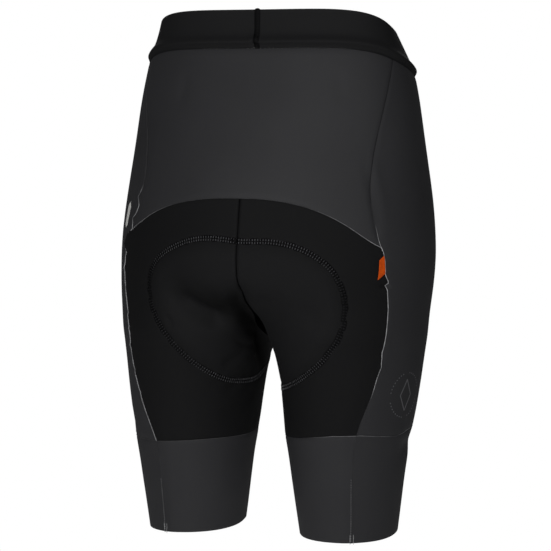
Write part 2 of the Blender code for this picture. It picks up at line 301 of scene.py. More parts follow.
# %% Outer skins
LEG_MIDDLE_X = 84.0
LEG_MIDDLE_Y = 16.0
WELD = 0.01
RIM_ANGLE = math.radians(50)
QUAD_ANGLE = math.radians(60)
CROTCH_Z = -318.0
HIP_MIDDLE_SHARE = 0.4
Panel = namedtuple("Panel", "knit slot levels wall")
PANELS = {
    "waistband": Panel("elastic", "brushed_elastic_black", 3, 1.5),
    "back_yoke": Panel("charcoal", "warp_knit_charcoal", 2, 1.0),
    "front_panel_left": Panel("charcoal", "warp_knit_charcoal", 2, 1.0),
    "front_panel_right": Panel("charcoal", "warp_knit_charcoal", 2, 1.0),
    "seat_panel_left": Panel("black", "warp_knit_black", 3, 1.0),
    "seat_panel_right": Panel("black", "warp_knit_black", 3, 1.0),
    "leg_band_left": Panel("charcoal", "warp_knit_charcoal", 2, 1.0),
    "leg_band_right": Panel("charcoal", "warp_knit_charcoal", 2, 1.0),
}


def outward_area(faces):
    """How much cloth in some faces looks away from the middle of the hips or of a leg."""
    total = 0.0
    for face in faces:
        centre = face.calc_center_median()
        middle_x = centre.x * HIP_MIDDLE_SHARE
        if centre.z < CROTCH_Z * MM:
            middle_x = math.copysign(LEG_MIDDLE_X * MM, centre.x)
        outwards = centre - Vector((middle_x, LEG_MIDDLE_Y * MM, centre.z))
        total += face.calc_area() * face.normal.dot(outwards.normalized())
    return total


def islands(mesh):
    found = []
    waiting = set(mesh.faces)
    while waiting:
        stack = [waiting.pop()]
        island = []
        while stack:
            face = stack.pop()
            island.append(face)
            for edge in face.edges:
                for other in edge.link_faces:
                    if other in waiting:
                        waiting.discard(other)
                        stack.append(other)
        found.append(island)
    return found


def outer_skin(node_name):
    skin = bmesh.new()
    skin.from_mesh(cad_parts[node_name].data)
    bmesh.ops.remove_doubles(skin, verts=skin.verts, dist=WELD * MM)
    skin.normal_update()
    rims = [edge for edge in skin.edges if edge.calc_face_angle(0.0) > RIM_ANGLE]
    bmesh.ops.split_edges(skin, edges=rims)
    kept = set(max(islands(skin), key=outward_area))
    bmesh.ops.delete(skin, geom=[f for f in skin.faces if f not in kept], context="FACES")
    bmesh.ops.join_triangles(
        skin,
        faces=skin.faces,
        angle_face_threshold=QUAD_ANGLE,
        angle_shape_threshold=QUAD_ANGLE,
        topology_influence=1.0,
    )
    return skin


def apply_modifier(piece, kind, **settings):
    modifier = piece.modifiers.new(kind.title(), kind)
    for key, value in settings.items():
        setattr(modifier, key, value)
    bpy.ops.object.select_all(action="DESELECT")
    bpy.context.view_layer.objects.active = piece
    bpy.ops.object.modifier_apply(modifier=modifier.name)


def link_piece(name, mesh, material):
    piece = bpy.data.objects.new(name, mesh)
    bpy.context.scene.collection.objects.link(piece)
    mesh.materials.clear()
    mesh.materials.append(material)
    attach(piece, "root")
    return piece


cloth = {}
for node_name, panel in PANELS.items():
    skin = outer_skin(node_name)
    mesh = bpy.data.meshes.new(node_name + "_cloth")
    quads = sum(len(face.verts) == 4 for face in skin.faces)
    print(f"{node_name}: {len(skin.faces)} faces, {quads} of them quads")
    skin.to_mesh(mesh)
    skin.free()
    piece = link_piece(node_name + "_cloth", mesh, knit_materials[panel.knit])
    apply_modifier(
        piece,
        "SUBSURF",
        levels=panel.levels,
        render_levels=panel.levels,
        boundary_smooth="PRESERVE_CORNERS",
    )
    cloth[node_name] = piece

# %% [markdown]
# Places on the cloth are given as a maker would point at them: a side, a turn round that leg's
# middle line (0 degrees at the outer side, 90 at the back, 180 at the inner side) and a height.
# An arrow from the middle line finds the cloth there. Two other helpers read a smooth curve through
# a few points, and measure how far each vertex is from such a line.

# %% Finding places on the cloth
def cloth_tree():
    """One search tree of every panel as it is shaped now."""
    points = []
    faces = []
    for piece in cloth.values():
        start = len(points)
        points += [vertex.co.copy() for vertex in piece.data.vertices]
        faces += [[start + i for i in polygon.vertices] for polygon in piece.data.polygons]
    return BVHTree.FromPolygons(points, faces)


def on_cloth(tree, side, angle, z):
    turn = math.radians(angle)
    middle = Vector((SIDES[side] * LEG_MIDDLE_X, LEG_MIDDLE_Y, z)) * MM
    arrow = Vector((SIDES[side] * math.cos(turn), math.sin(turn), 0))
    hit = tree.ray_cast(middle, arrow)[0]
    return hit or tree.find_nearest(middle + arrow * LEG_MIDDLE_X * MM)[0]


def curve_through(points, steps):
    """A Catmull-Rom curve through some points, with steps points from each to the next."""
    line = []
    ends = [points[0] * 2 - points[1], *points, points[-1] * 2 - points[-2]]
    for before, start, end, after in zip(ends, ends[1:], ends[2:], ends[3:]):
        for step in range(steps):
            t = step / steps
            line.append(
                start
                + (end - before) * (0.5 * t)
                + (before * 2 - start * 5 + end * 4 - after) * (0.5 * t * t)
                + (start * 3 - before - end * 3 + after) * (0.5 * t * t * t)
            )
    return line + [points[-1]]


def nearest_on_line(points, line):
    """For each point, its distance from a line of points and how far along the line it lies."""
    line = np.array(line)
    starts = line[:-1]
    runs = line[1:] - starts
    lengths = np.maximum((runs**2).sum(1), 1e-12)
    offsets = points[:, None] - starts[None]
    t = np.clip((offsets * runs[None]).sum(2) / lengths, 0, 1)
    distances = np.linalg.norm(offsets - t[..., None] * runs[None], axis=2)
    best = distances.argmin(1)
    rows = np.arange(len(points))
    along = (best + t[rows, best]) / len(runs)
    return distances[rows, best], along


def vertex_array(piece, what="co"):
    source = piece.data.vertices if what == "co" else piece.data.vertex_normals
    values = np.zeros(len(source) * 3, np.float32)
    source.foreach_get("co" if what == "co" else "vector", values)
    return values.reshape(-1, 3).astype(float)


def move_vertices(piece, points):
    piece.data.vertices.foreach_set("co", points.astype(np.float32).ravel())
    piece.data.update()


smooth_tree = cloth_tree()
print("a place on the left hip, mm:", on_cloth(smooth_tree, "left", 0, -200) / MM)

# %% [markdown]
# Tight knit has few creases. They sit where a seam pulls shorter than the cloth beside it: small
# puckers that cross the side seams, soft folds that run from the crotch round the inner thighs, and
# long shallow hollows beside the seams of the hips. Each crease here is an uneven line of places
# with a width and a depth. A negative depth is a trough. Hidden sides get similar ones.
# A pucker has a height on the side seam, and a reach onto the cloth behind and in front of it.

# %% Where the creases are
Crease = namedtuple("Crease", "side width depth places")
CREASES = [
    # Wide troughs: the cleft above the crotch, the fold under the left buttock, then small folds
    Crease(
        "left",
        10.0,
        -10.0,
        [(127.5, -244), (129, -262), (132, -277), (142, -291), (160, -309), (170, -325), (175, -345)],
    ),
    Crease(
        "left",
        12.0,
        -11.0,
        [(90, -258), (99, -267), (106, -276), (113, -283), (120, -288), (127, -291), (138, -294)],
    ),
    Crease(
        "left", 10.0, -4.5, [(146, -296), (157, -306), (165, -319), (172, -331), (178, -343), (180, -366)]
    ),
    Crease("left", 2.6, -1.8, [(142.0, -303.1), (151.7, -310.5), (165.5, -318.6)]),
    Crease("left", 2.4, -1.2, [(133.6, -311.8), (145.2, -320.5), (161.0, -323.4)]),
    Crease("left", 2.6, 1.0, [(156.7, -334.6), (165.5, -328.3), (168.4, -319.0)]),
    Crease("left", 3.0, -1.0, [(89.0, -285.7), (93.1, -293.6), (94.4, -303.8)]),
    Crease("right", 8.0, -1.4, [(108.0, -262.0), (118.0, -270.0), (127.0, -272.0)]),
    Crease("right", 7.0, -0.9, [(101.5, -268.4), (95.7, -286.4), (90.8, -298.3)]),
    # Inner thighs, from the crotch outwards and down
    Crease("left", 5.0, -1.6, [(150, -322), (138, -334), (126, -340)]),
    Crease("left", 4.0, 0.9, [(156, -331), (143, -344), (128, -352)]),
    Crease("left", 5.5, -1.3, [(160, -345), (146, -360), (128, -370)]),
    Crease("left", 7.0, -0.9, [(172, -362), (150, -384), (126, -398)]),
    Crease("left", 6.0, -1.2, [(196, -330), (214, -340), (236, -345)]),
    Crease("right", 5.0, -1.5, [(152, -324), (140, -338), (129, -347)]),
    Crease("right", 6.0, -1.1, [(162, -348), (147, -365), (131, -376)]),
    Crease("right", 4.5, -1.3, [(195, -334), (210, -346), (232, -350)]),
    Crease("right", 6.5, -0.8, [(178, -372), (196, -388), (222, -394)]),
    # Groin folds at the front, from the crotch up to the hips
    Crease("left", 6.0, -1.8, [(238, -292), (254, -274), (276, -254), (300, -238)]),
    Crease("left", 5.0, 0.9, [(244, -306), (262, -292), (284, -276)]),
    Crease("left", 7.0, -1.1, [(250, -322), (270, -310), (296, -296)]),
    Crease("right", 6.5, -1.7, [(239, -296), (256, -276), (280, -258), (302, -246)]),
    Crease("right", 5.0, 0.8, [(246, -310), (264, -298), (288, -286)]),
    Crease("right", 7.5, -1.0, [(252, -328), (274, -318), (300, -308)]),
    # Long hollows beside the side seams of the hips
    Crease("right", 4.5, -0.9, [(62, -120), (56, -160), (52, -196), (50, -212)]),
    Crease("right", 4.0, 0.5, [(55, -118), (48, -158), (43, -200)]),
    Crease("left", 4.5, -0.8, [(63, -128), (57, -164), (53, -200)]),
    # Under the waistband, where the elastic draws the cloth in
    Crease("left", 7.0, -0.7, [(100, -38), (98, -56), (94, -78)]),
    Crease("right", 6.0, -0.6, [(86, -36), (83, -58), (82, -74)]),
    Crease("right", 6.0, -0.7, [(282, -62), (280, -86), (284, -106)]),
    Crease("left", 7.0, -0.7, [(262, -64), (266, -84), (264, -112)]),
    # Where each thigh meets its tighter band
    Crease("left", 6.0, -0.8, [(36, -392), (30, -408), (26, -418)]),
    Crease("right", 5.0, -0.7, [(20, -386), (12, -402), (10, -414)]),
    Crease("right", 6.0, -0.7, [(200, -396), (192, -410), (190, -418)]),
    Crease("left", 6.0, 0.6, [(186, -392), (180, -408), (178, -420)]),
    Crease("right", 11.0, -2.4, [(30, -430), (10, -424), (350, -420), (328, -417), (302, -414)]),
]
Pucker = namedtuple("Pucker", "side z onto_back onto_front width depth")
PUCKERS = [
    Pucker("right", -197, 5, 4, 3.0, -0.7),
    Pucker("right", -224, 3, 6, 2.6, -0.6),
    Pucker("right", -254, 15, 4, 1.5, -2.4),
    Pucker("right", -260, 7, 5, 2.4, 0.7),
    Pucker("right", -322, 3, 8, 3.0, -0.7),
    Pucker("right", -336, 4, 6, 2.6, 0.9),
    Pucker("right", -374, 5, 3, 3.2, -0.6),
    Pucker("left", -158, 6, 5, 3.0, 0.8),
    Pucker("left", -176, 5, 6, 3.2, -0.9),
    Pucker("left", -204, 8, 5, 2.8, -0.9),
    Pucker("left", -228, 9, 7, 3.2, -1.1),
    Pucker("left", -243, 5, 5, 2.8, 0.9),
    Pucker("left", -290, 6, 4, 2.2, -1.1),
    Pucker("left", -304, 5, 6, 2.2, -0.8),
    Pucker("left", -322, 5, 6, 2.4, 0.8),
    Pucker("left", -349, 7, 4, 2.6, -1.1),
    Pucker("left", -372, 5, 3, 3.0, -0.6),
]
print(f"{len(CREASES)} creases and {len(PUCKERS)} puckers")

# %% [markdown]
# The thread also draws the seams out of line. One table says how far each side seam is pulled
# backwards at some heights, and the other how far the seam above each leg band is pulled upwards at
# some turns round the leg. The cloth within reach of a seam follows it, less and less.

# %% Where the seams waver
SIDE_SEAM_WAVES = {
    "left": [
        (-382, 1.0), (-371, 1.2), (-358.7, 1.8), (-348.8, -0.5), (-343, 1.6),
        (-322, 0.6), (-309, 2.4), (-304.6, -0.9), (-299, 2.0), (-290, -1.1),
        (-285.5, 1.8), (-270, 0.8), (-248.5, 1.2), (-235.4, 2.6), (-227, -1.0),
        (-219, -8.5), (-209, -7.0), (-202.3, 1.4), (-197, -0.6), (-190.7, -5.5),
        (-185.5, 0.4), (-175, -2.4), (-167.6, -7.0), (-161.3, 0.0),
    ],
    "right": [
        (-392, -1.5), (-365.4, -2.6), (-356.6, -2.0), (-349, -1.2), (-337, -1.6),
        (-322, 0.8), (-305, -0.2), (-278, -0.5), (-262.5, 0.8), (-254.8, 2.6),
        (-251.4, -0.9), (-246.5, 1.6), (-243.2, 2.7), (-234, 1.0), (-223.5, -0.9),
        (-214, 0.6), (-206.5, 0.4), (-198.4, -1.0), (-190, 0.0),
    ],
}
SIDE_WAVE_REACH = 10.0
BAND_SEAM_WAVES = {
    "left": [
        (0, 0.0), (40, 0.7), (75, -0.6), (120, 0.5), (165, -0.7), (220, 0.8),
        (290, -0.6), (360, 0.0),
    ],
    "right": [
        (0, 0.4), (30, -3.2), (46, -1.0), (65, 2.0), (84, 2.6), (113, -0.2),
        (160, -3.0), (200, -0.4), (260, 0.8), (320, 1.5), (340, 3.6),
        (360, 0.4),
    ],
}
BAND_WAVE_REACH = 13.0
MEETING_REACH = 1.0
SIDE_SEAM_END = 150


def point_tree(points):
    tree = KDTree(len(points))
    for index, point in enumerate(points):
        tree.insert(point, index)
    tree.balance()
    return tree


def meeting_line(names, neighbours):
    """The points of some panels that lie beside some neighbours."""
    others = [v.co.copy() for name in neighbours for v in cloth[name].data.vertices]
    near = point_tree(others)
    points = [v.co.copy() for name in names for v in cloth[name].data.vertices]
    return [point for point in points if near.find(point)[2] < MEETING_REACH * MM]


def pulled(waves, at):
    return np.interp(at, [place for place, _ in waves], [pull for _, pull in waves]) * MM


def turn_and_height(points, side):
    """The places of points as angles round the leg's middle line, 0 to 360, and heights in mm."""
    across = points[:, 0] / MM * SIDES[side] - LEG_MIDDLE_X
    back = points[:, 1] / MM - LEG_MIDDLE_Y
    return np.degrees(np.arctan2(back, across)) % 360, points[:, 2] / MM


side_seams = {}
band_seams = {}
for side in SIDES:
    front, seat, leg_band = ("front_panel_" + side, "seat_panel_" + side, "leg_band_" + side)
    side_seam = meeting_line([front], ["back_yoke", seat])
    angle, _ = turn_and_height(np.array(side_seam), side)
    side_seams[side] = [place for place, turn in zip(side_seam, angle) if turn < SIDE_SEAM_END]
    band_seams[side] = meeting_line([leg_band], [front, seat])

for name, piece in cloth.items():
    if name == "waistband":
        continue
    points = vertex_array(piece)
    normals = vertex_array(piece, "normal")
    moved = points.copy()
    for side, sign in SIDES.items():
        own_side = points[:, 0] * sign > 0
        seam = point_tree(side_seams[side])
        found = [seam.find(point) for point in points]
        distance = np.array([hit[2] for hit in found]) / MM
        pull = pulled(SIDE_SEAM_WAVES[side], np.array([hit[0].z for hit in found]) / MM)
        pull *= np.exp(-((distance / SIDE_WAVE_REACH) ** 2)) * own_side
        backwards = np.cross([0, 0, sign], normals)
        backwards /= np.linalg.norm(backwards, axis=1)[:, None] + 1e-9
        moved += backwards * pull[:, None]
        seam = point_tree(band_seams[side])
        distance = np.array([seam.find(point)[2] for point in points]) / MM
        pull = pulled(BAND_SEAM_WAVES[side], turn_and_height(points, side)[0])
        moved[:, 2] += pull * np.exp(-((distance / BAND_WAVE_REACH) ** 2)) * own_side
    move_vertices(piece, moved)
print("side seam points:", {side: len(seam) for side, seam in side_seams.items()})

# %% [markdown]
# Now each crease is pressed into the cloth along its normals: deepest on its line, gone about two
# widths away, and faded out at both ends.

# %% Pressing the creases in
CREASE_FADE = 0.3


def faded(along):
    """Full in the middle of a crease and nothing at its ends."""
    near_end = np.minimum(along, 1 - along) / CREASE_FADE
    return np.sin(np.clip(near_end, 0, 1) * math.pi / 2) ** 2


def side_seam_place(side, z):
    """Where the side seam is at one height, and the level direction along the cloth to the back."""
    seam = meeting_line(["front_panel_" + side], ["back_yoke", "seat_panel_" + side])
    place = min(
        (point for point in seam if turn_and_height(np.array([point]), side)[0][0] < SIDE_SEAM_END),
        key=lambda point: abs(point.z - z * MM),
    )
    normal = smooth_tree.find_nearest(place)[1]
    return place, (Vector((0, 0, SIDES[side])).cross(normal)).normalized()


smooth_tree = cloth_tree()
crease_lines = []
for crease in CREASES:
    places = [on_cloth(smooth_tree, crease.side, *place) for place in crease.places]
    crease_lines.append((curve_through(places, 5), crease.width * MM, crease.depth * MM))
for pucker in PUCKERS:
    place, backwards = side_seam_place(pucker.side, pucker.z)
    front_end = place - backwards * pucker.onto_front * MM
    line = [front_end, place, place + backwards * pucker.onto_back * MM]
    crease_lines.append((line, pucker.width * MM, pucker.depth * MM))

for piece in cloth.values():
    points = vertex_array(piece)
    normals = vertex_array(piece, "normal")
    lift = np.zeros(len(points))
    for line, width, depth in crease_lines:
        distance, along = nearest_on_line(points, line)
        lift += depth * np.exp(-((distance / width) ** 2)) * faded(along)
    move_vertices(piece, points + normals * lift[:, None])
print(f"{len(crease_lines)} creases, {len(PUCKERS)} of them cross a side seam")

# %% [markdown]
# The seat pad is sewn inside, so only its stitched outline and a slight fullness show. The outline
# is a list of angles and heights for each half, from the centre back round the seat to the inner
# thigh and up the front. Cloth inside it swells a little, and its colour is made paler, partly as
# knit pulled tight and partly as painted light on the swell, and the stitches sink in. Under the
# left buttock and down to the crotch, shade is painted into the cloth's colour along a fold.

# %% The pad's outline and fullness
PAD_OUTLINE = {
    "left": [
        (127.3, -210.4), (123.2, -208.9), (118.3, -207.9), (112.8, -208.4), (106.6, -210.8),
        (99.4, -215.7), (92.7, -221.6), (85.9, -229.1), (81.4, -237.4), (78.4, -247.9),
        (77.0, -260.1), (78.1, -272.3), (80.7, -284.1), (85.0, -295.8), (89.9, -307.7),
        (94.9, -317.6), (101.1, -327.8), (108.8, -338.2), (118.5, -347.8), (129.5, -354.9),
        (142.6, -358.9), (156.3, -359.8), (172.0, -357.8), (187.0, -352.0), (199.0, -343.0),
        (208.0, -330.0), (214.5, -313.0), (218.5, -294.0), (220.5, -275.0), (223.0, -258.0),
        (227.0, -246.0), (232.4, -240.0),
    ],
    "right": [
        (127.3, -210.4), (122.5, -210.3), (118.7, -209.9), (113.4, -210.4), (107.6, -212.6),
        (102.3, -215.9), (96.6, -220.6), (90.7, -227.3), (85.5, -234.6), (81.2, -243.7),
        (78.1, -253.0), (76.2, -263.1), (75.2, -274.1), (75.6, -285.1), (76.9, -296.0),
        (78.9, -305.2), (82.4, -314.6), (86.9, -323.3), (91.5, -331.1), (97.1, -338.1),
        (103.4, -344.8), (112.9, -352.8), (126.3, -359.4), (138.5, -362.9), (153.0, -365.5),
        (170.0, -364.0), (186.0, -358.5), (198.0, -349.0), (207.0, -337.0), (213.0, -322.0),
        (217.5, -305.0), (220.0, -287.0), (221.5, -269.0), (224.0, -254.0), (227.5, -244.0),
        (232.4, -240.0),
    ],
}
PAD_SWELL_STEPS = 3
PAD_SWELL = 1.5
PAD_SWELL_WIDTH = 16.0
STITCH_SINK = 0.4
STITCH_SINK_WIDTH = 3.4
# Angle, height and share of painted shade along the fold under the left buttock, down to the crotch
PAINTED_SHADE_LINE = [
    (103, -256, 0.3), (113, -266, 0.6), (120, -271, 0.85), (130, -275, 1.0), (141, -288, 1.0),
    (153, -306, 1.0), (163, -321, 1.0), (172, -336, 1.0), (179, -352, 0.8), (184, -366, 0.1),
]
PAINTED_SHADE_WIDTH = 18.0
PAINTED_SHADE_STRENGTH = 3.2
# No fullness low on the inner thigh: past this angle and depth it fades, over this many of each
PAD_THIN_FROM = (125, 295)
PAD_THIN_OVER = (30, 25)


def pad_line(tree, side, steps):
    return curve_through([on_cloth(tree, side, *place) for place in PAD_OUTLINE[side]], steps)


def inside_pad(points, side):
    """An even-odd count of the outline's edges above each point, the middle of the body closed."""
    angle, height = turn_and_height(points, side)
    corners = PAD_OUTLINE[side]
    inside = np.zeros(len(points), bool)
    for (a0, z0), (a1, z1) in zip(corners, corners[1:] + corners[:1]):
        crosses = (a0 > angle) != (a1 > angle)
        level = z0 + (z1 - z0) * (angle - a0) / ((a1 - a0) or 1e-9)
        inside ^= crosses & (height < level)
    return inside


creased_tree = cloth_tree()
for side in SIDES:
    piece = cloth["seat_panel_" + side]
    points = vertex_array(piece)
    distance, _ = nearest_on_line(points, pad_line(creased_tree, side, PAD_SWELL_STEPS))
    depth_inside = np.where(inside_pad(points, side), distance, 0) / (PAD_SWELL_WIDTH * MM)
    angle, height = turn_and_height(points, side)
    flat_share = np.clip((angle - PAD_THIN_FROM[0]) / PAD_THIN_OVER[0], 0, 1)
    flat_share *= np.clip((-height - PAD_THIN_FROM[1]) / PAD_THIN_OVER[1], 0, 1)
    swell = PAD_SWELL * MM * np.sin(np.clip(depth_inside, 0, 1) * math.pi / 2) * (1 - flat_share)
    sink = STITCH_SINK * MM * np.exp(-((distance / (STITCH_SINK_WIDTH * MM)) ** 2))
    # Paler inside the pad, partly as knit pulled tight and partly as painted light on its swell
    pad_stretch_and_light = np.clip(depth_inside, 0, 1)
    # Painted shade: the colour is darkened along the fold under the left buttock and down to the crotch
    if side == "left":
        places = [on_cloth(creased_tree, side, angle, z) for angle, z, _ in PAINTED_SHADE_LINE]
        distance, along = nearest_on_line(points, curve_through(places, 4))
        share = np.interp(along, np.linspace(0, 1, len(PAINTED_SHADE_LINE)), [full for *_, full in PAINTED_SHADE_LINE])
        pad_stretch_and_light -= PAINTED_SHADE_STRENGTH * share * np.exp(-((distance / (PAINTED_SHADE_WIDTH * MM)) ** 2))
    stretch_and_painted_light = piece.data.attributes.new("stretch_and_painted_light", "FLOAT", "POINT")
    stretch_and_painted_light.data.foreach_set("value", pad_stretch_and_light.astype(np.float32))
    move_vertices(piece, points + vertex_array(piece, "normal") * (swell - sink)[:, None])
    print(f"pad, {side}: {int((depth_inside > 0).sum())} points swell")

# %% [markdown]
# Where panels are sewn together their edges turn inwards, so every seam is a small valley, and the
# one between the two seat panels is deeper. The waistband folds over a little above its lower edge:
# it swells down to a crisp line, and under that it tucks in over the yoke.

# %% Seam valleys and the waistband's roll
SEAM_REACH = 1.2
SEAM_SINK = 0.55
BAND_FOLD_HEIGHT = 5.8
BAND_FOLD = 3.4
BAND_FOLD_ABOVE = 6.0
BAND_FOLD_BELOW = 1.6
BAND_TUCK = 1.2
BAND_TUCK_WIDTH = 2.2
CENTRE_SINK = 1.1
CENTRE_SINK_WIDTH = 1.8


def boundary_loops(piece):
    """The open edges of a skin as ordered lists of vertex numbers."""
    skin = bmesh.new()
    skin.from_mesh(piece.data)
    follow = {}
    for edge in skin.edges:
        if edge.is_boundary:
            a, b = (vertex.index for vertex in edge.verts)
            follow.setdefault(a, []).append(b)
            follow.setdefault(b, []).append(a)
    skin.free()
    loops = []
    left = set(follow)
    while left:
        here = min(left)
        loop = [here]
        left.discard(here)
        while True:
            ahead = [v for v in follow[here] if v in left]
            if not ahead:
                break
            here = ahead[0]
            loop.append(here)
            left.discard(here)
        loops.append(loop)
    return loops


def edge_tree(names):
    """A search tree of the open-edge points of some panels."""
    points = []
    for name in names:
        piece = cloth[name]
        for loop in boundary_loops(piece):
            points += [piece.data.vertices[index].co.copy() for index in loop]
    return point_tree(points)


seam_trees = {name: edge_tree([name]) for name in cloth}
for name, piece in cloth.items():
    points = vertex_array(piece)
    normals = vertex_array(piece, "normal")
    sewn = set()
    for loop in boundary_loops(piece):
        for index in loop:
            near = [t for n, t in seam_trees.items() if n != name]
            if min(tree.find(points[index])[2] for tree in near) < SEAM_REACH * MM:
                sewn.add(index)
    for index in sewn:
        points[index] -= normals[index] * SEAM_SINK * MM
    move_vertices(piece, points)
    print(f"{name}: {len(sewn)} edge points are sewn to a neighbour")

for side, other in (("left", "right"), ("right", "left")):
    piece = cloth["seat_panel_" + side]
    points = vertex_array(piece)
    seam = seam_trees["seat_panel_" + other]
    distance = np.array([seam.find(point)[2] for point in points]) / MM
    sink = CENTRE_SINK * MM * np.exp(-((distance / CENTRE_SINK_WIDTH) ** 2))
    move_vertices(piece, points - vertex_array(piece, "normal") * sink[:, None])

band = cloth["waistband"]
points = vertex_array(band)
normals = vertex_array(band, "normal")
panels_below = [seam_trees[name] for name in ("back_yoke", "front_panel_left", "front_panel_right")]
lower_edge = [
    points[i]
    for loop in boundary_loops(band)
    for i in loop
    if min(tree.find(points[i])[2] for tree in panels_below) < 2 * SEAM_REACH * MM
]
lower_tree = point_tree(lower_edge)
height = np.array([lower_tree.find(point)[2] for point in points]) / MM
width = np.where(height > BAND_FOLD_HEIGHT, BAND_FOLD_ABOVE, BAND_FOLD_BELOW)
fold = BAND_FOLD * np.exp(-(((height - BAND_FOLD_HEIGHT) / width) ** 2))
tuck = BAND_TUCK * np.exp(-((height / BAND_TUCK_WIDTH) ** 2))
move_vertices(band, points + normals * (fold - tuck)[:, None] * MM)
print(f"waistband: {len(lower_edge)} points on its lower edge")

# %% [markdown]
# Each cloth gets its own UV map in metres: round the body or leg, and up. A face that crosses the
# line where the angle jumps is unwrapped against its own first corner, so no face is smeared.

# %% Cloth UV maps
# One radius for body and legs keeps the loops near their real width
KNIT_RADIUS = 90.0


def cloth_uv(piece, middle_x, middle_y):
    layer = piece.data.uv_layers.new(name="cloth")
    for polygon in piece.data.polygons:
        first = None
        for loop_index in polygon.loop_indices:
            point = piece.data.vertices[piece.data.loops[loop_index].vertex_index].co
            angle = math.atan2(point.y - middle_y * MM, point.x - middle_x * MM)
            first = angle if first is None else first
            angle -= round((angle - first) / (2 * math.pi)) * 2 * math.pi
            layer.data[loop_index].uv = (angle * KNIT_RADIUS * MM, point.z)


for name, piece in cloth.items():
    leg = SIDES["left"] if name.endswith("left") else SIDES["right"]
    on_leg = name.startswith(("leg", "seat"))
    cloth_uv(piece, leg * LEG_MIDDLE_X if on_leg else 0.0, LEG_MIDDLE_Y)
print("UV maps:", len(cloth))

# %% [markdown]
# Seams are sewn from the wrong side. What shows is the folded edge of the printed cloth, where the
# undyed yarn comes to the surface as a pale line about 1 mm wide. It is a thin roll that follows
# the panel's own edge, so it waves with each pucker. It shines where black and charcoal meet, and
# is hardly seen between two charcoal panels. An edge's shine is a list of heights and shares; where
# it is low the roll is dark, painted shade in the seam's valley, and along the yoke's top under the
# waistband it is painted shadow. The seams at the centre front and centre back are closed by dark
# rolls, so no light comes through, and their dark is painted shade in the seams' valleys.

# %% Pale seam edges
EDGE_LIFT = 0.3
Edge = namedtuple("Edge", "name panel neighbours radius shine")
SEAM_EDGES = [
    Edge("side_edge_left", "front_panel_left", ["seat_panel_left"], 0.5, [(-400, 0.6), (-205, 0.95)]),
    Edge("side_edge_right", "front_panel_right", ["seat_panel_right"], 0.42,
         [(-400, 0.05), (-372, 0.1), (-360, 0.8), (-230, 0.95)]),
    Edge("hip_edge_left", "front_panel_left", ["back_yoke"], 0.36,
         [(-205, 0.9), (-168, 0.8), (-158, 0.1)]),
    Edge("hip_edge_right", "front_panel_right", ["back_yoke"], 0.30,
         [(-215, 0.7), (-200, 0.5), (-194, 0.08), (-150, 0.02)]),
    Edge("seat_edge", "back_yoke", ["seat_panel_left", "seat_panel_right"], 0.30,
         [(-210, 0.75), (-190, 0.45), (-176, 0.1)]),
    Edge("band_edge_left", "leg_band_left", ["front_panel_left", "seat_panel_left"], 0.28, [(0, 0.15)]),
    Edge("band_edge_right", "leg_band_right", ["front_panel_right", "seat_panel_right"], 0.26,
         [(-411, 0.0), (-406, 0.5)]),
    # Painted shadow: a dark roll along the yoke's top, under the waistband's fold
    Edge("waist_shadow_edge", "back_yoke", ["waistband"], 0.24, [(0, 0.0)]),
    Edge("front_centre_edge", "front_panel_left", ["front_panel_right"], 0.45, [(0, 0.05)]),
]
EDGE_REACH = 2.2 * SEAM_REACH


def runs_beside(piece, tree):
    """The stretches of a panel's open edge that lie along a neighbour's edge."""
    runs = []
    for loop in boundary_loops(piece):
        near = [tree.find(piece.data.vertices[i].co)[2] < EDGE_REACH * MM for i in loop]
        if all(near):
            runs.append(loop + loop[:1])
            continue
        first_gap = near.index(False)
        order = [(first_gap + step) % len(loop) for step in range(len(loop))]
        run = []
        for position in order:
            if near[position]:
                run.append(loop[position])
            elif run:
                runs.append(run)
                run = []
        if run:
            runs.append(run)
    return [run for run in runs if len(run) > 3]


def roll_along(name, lines, radius, material):
    """A thin roll with closed ends along each line of points."""
    curve = bpy.data.curves.new(name, "CURVE")
    curve.dimensions = "3D"
    curve.bevel_depth = radius * MM
    curve.bevel_resolution = 1
    curve.use_fill_caps = True
    for line in lines:
        spline = curve.splines.new("POLY")
        spline.points.add(len(line) - 1)
        for point, place in zip(spline.points, line):
            point.co = (*place, 1)
    guide = bpy.data.objects.new(name + "_guide", curve)
    bpy.context.scene.collection.objects.link(guide)
    graph = bpy.context.evaluated_depsgraph_get()
    mesh = bpy.data.meshes.new_from_object(guide.evaluated_get(graph))
    bpy.data.objects.remove(guide)
    rolls = bmesh.new()
    rolls.from_mesh(mesh)
    bmesh.ops.remove_doubles(rolls, verts=rolls.verts, dist=0.002 * MM)
    for face in rolls.faces:
        face.smooth = True
    rolls.to_mesh(mesh)
    rolls.free()
    return link_piece(name, mesh, material)


def set_shine(piece, values):
    shine = piece.data.attributes.new("shine", "FLOAT", "POINT")
    shine.data.foreach_set("value", np.clip(values, 0, 1).astype(np.float32))


for edge in SEAM_EDGES:
    piece = cloth[edge.panel]
    tree = edge_tree(edge.neighbours)
    lines = [
        [piece.data.vertices[i].co + piece.data.vertex_normals[i].vector * EDGE_LIFT * MM for i in run]
        for run in runs_beside(piece, tree)
    ]
    roll = roll_along(edge.name, lines, edge.radius, pale_edge)
    heights = vertex_array(roll)[:, 2] / MM
    set_shine(roll, np.interp(heights, [z for z, _ in edge.shine], [share for _, share in edge.shine]))
    print(f"{edge.name}: {len(lines)} stretches")

# The seat's centre seam has no pale edge: a near-black roll fills its valley as painted shade
CENTRE_ROLL = 0.6
centre_piece = cloth["seat_panel_left"]
centre_runs = runs_beside(centre_piece, edge_tree(["seat_panel_right"]))
centre_lines = [[centre_piece.data.vertices[i].co.copy() for i in run] for run in centre_runs]
centre_shade_roll = roll_along("seat_centre_shade_roll", centre_lines, CENTRE_ROLL, elastic_thread)
set_shine(centre_shade_roll, np.zeros(len(centre_shade_roll.data.vertices)))
print(f"seat_centre_shade_roll: {len(centre_lines)} stretches")

